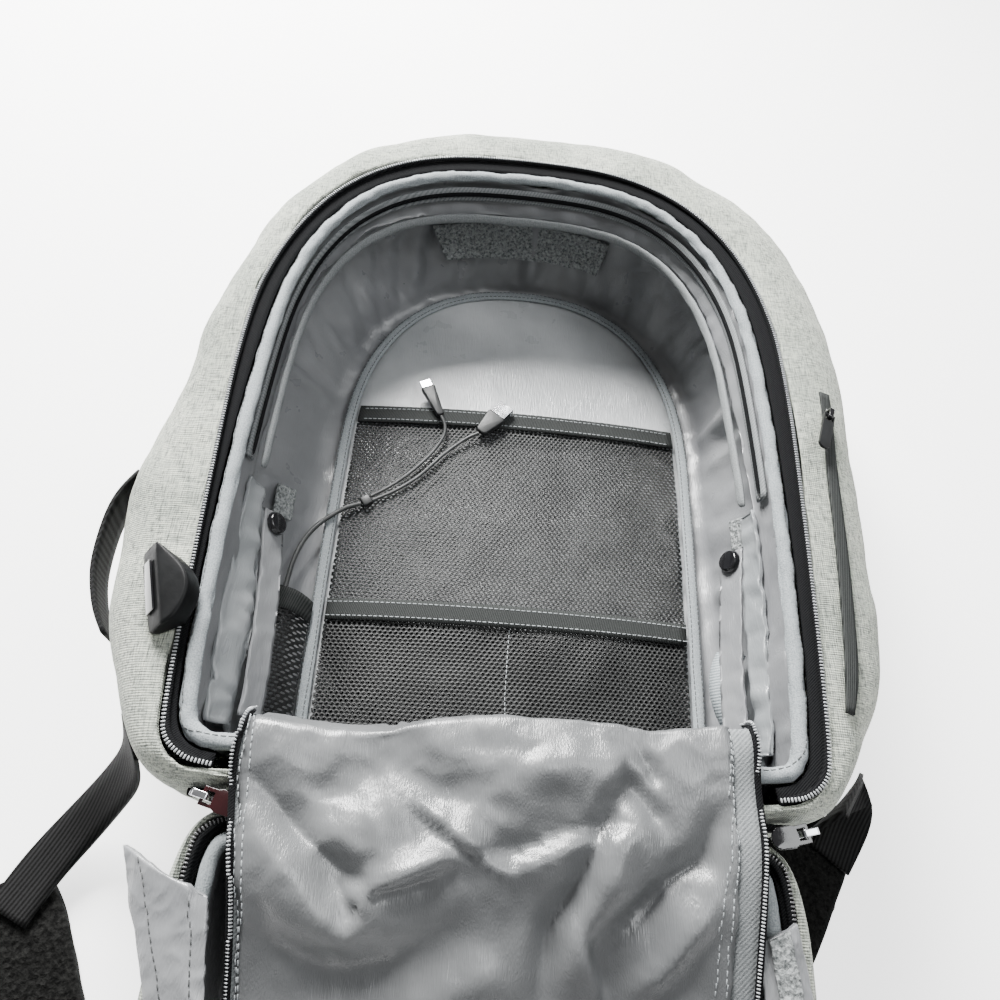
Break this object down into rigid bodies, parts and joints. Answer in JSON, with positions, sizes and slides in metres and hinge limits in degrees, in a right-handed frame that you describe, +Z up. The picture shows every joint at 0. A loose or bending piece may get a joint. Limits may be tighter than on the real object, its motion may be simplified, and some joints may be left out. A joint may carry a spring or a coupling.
{
  "type": "anti theft backpack",
  "caption": "Clamshell anti theft backpack lying open on its front, with a folded back panel, padded divider flap, mesh pockets, charging cable and shoulder straps.",
  "frame": {"origin": "middle of the base of the open bag's bounding box, on the surface it lies on", "axes": "+Z up; +Y from the folded back panel towards the shell's top end; +X to the right seen from the back panel's end"},
  "size_m": [0.5182, 0.9232, 0.1524],
  "materials": {
    "heather_cloth": "light heather grey weave with dark flecks",
    "black_tape": "matte zip tape",
    "zip_coil": "glossy coil with bright glints",
    "binding_cloth": "cool light grey, slightly fuzzy",
    "lining_satin": "mid grey satin",
    "grey_tape": "herringbone tape",
    "satin": "soft sheen satin",
    "dark_mesh": "matte hexagon mesh",
    "dark_hem": "matte ribbed tape",
    "loop_pile": "speckled loop pile",
    "black_gloss": "glossy",
    "grey_elastic": "ribbed elastic",
    "black_plastic": "satin",
    "bright_metal": "bright",
    "red_enamel": "dark red gloss",
    "black_webbing": "ribbed webbing",
    "air_mesh": "open air mesh over foam",
    "cable_grey": "smooth flat cable"
  },
  "bodies": {
    "bag": {"outer_shell": "heather_cloth", "lid_shell": "heather_cloth", "main_zip_tape": "black_tape", "lid_zip_tape": "black_tape", "base_zip_band": "black_tape", "main_zip_coil": "zip_coil", "inner_zip_coil": "zip_coil", "lid_zip_coil": "zip_coil", "flap_zip_coil": "zip_coil", "rim_binding": "binding_cloth", "inner_piping": "binding_cloth", "panel_binding": "binding_cloth", "lid_binding": "binding_cloth", "tray_lining": "lining_satin", "inner_zip_tape": "grey_tape", "flap_zip_tape": "grey_tape", "pocket_panel": "satin", "left_side_pocket": "satin", "right_side_pocket": "satin", "left_snap_strap": "satin", "right_snap_strap": "satin", "lid_lining": "satin", "left_wing": "satin", "right_wing": "satin", "divider_flap": "satin", "upper_mesh_pocket": "dark_mesh", "lower_mesh_pocket": "dark_mesh", "left_mesh_pocket": "dark_mesh", "upper_mesh_hem": "dark_hem", "lower_mesh_hem": "dark_hem", "left_mesh_hem": "dark_hem", "side_zip_welt": "dark_hem", "top_loop_patch": "loop_pile", "left_loop_patch": "loop_pile", "right_loop_patch": "loop_pile", "wing_loop_patch": "loop_pile", "left_snap": "black_gloss", "right_snap": "black_gloss", "side_zip_slider": "black_gloss", "usb_port_cover": "black_gloss", "right_elastic_loop": "grey_elastic", "usb_port_housing": "black_plastic", "cable_collar": "black_plastic", "usb_plug": "black_plastic", "micro_plug": "black_plastic", "main_slider_left": "bright_metal", "main_slider_right": "bright_metal", "side_handle": "black_webbing", "left_lower_webbing": "black_webbing", "right_lower_webbing": "black_webbing", "back_pad": "air_mesh", "left_shoulder_strap": "air_mesh", "right_shoulder_strap": "air_mesh", "cable_trunk": "cable_grey", "cable_branch_usb": "cable_grey", "cable_branch_micro": "cable_grey"},
    "side_pull": {"side_zip_pull": "black_plastic"},
    "left_pull": {"main_pull_left": "red_enamel"},
    "right_pull": {"main_pull_right": "black_gloss"}
  },
  "joints": [
    {"name": "side_pull_swing", "type": "hinge", "parent": "bag", "child": "side_pull", "pos_m": [0.20724, 0.19268, 0.14145], "axis": [-0.9164, 0.342, 0.2079], "range_deg": [0, 120]},
    {"name": "left_pull_swing", "type": "hinge", "parent": "bag", "child": "left_pull", "pos_m": [-0.10839, -0.03766, 0.132], "axis": [-0.2474, -0.9689, 0], "range_deg": [0, 15]},
    {"name": "right_pull_swing", "type": "hinge", "parent": "bag", "child": "right_pull", "pos_m": [0.1625, -0.03766, 0.132], "axis": [-0.2474, 0.9689, 0], "range_deg": [0, 120]}
  ]
}
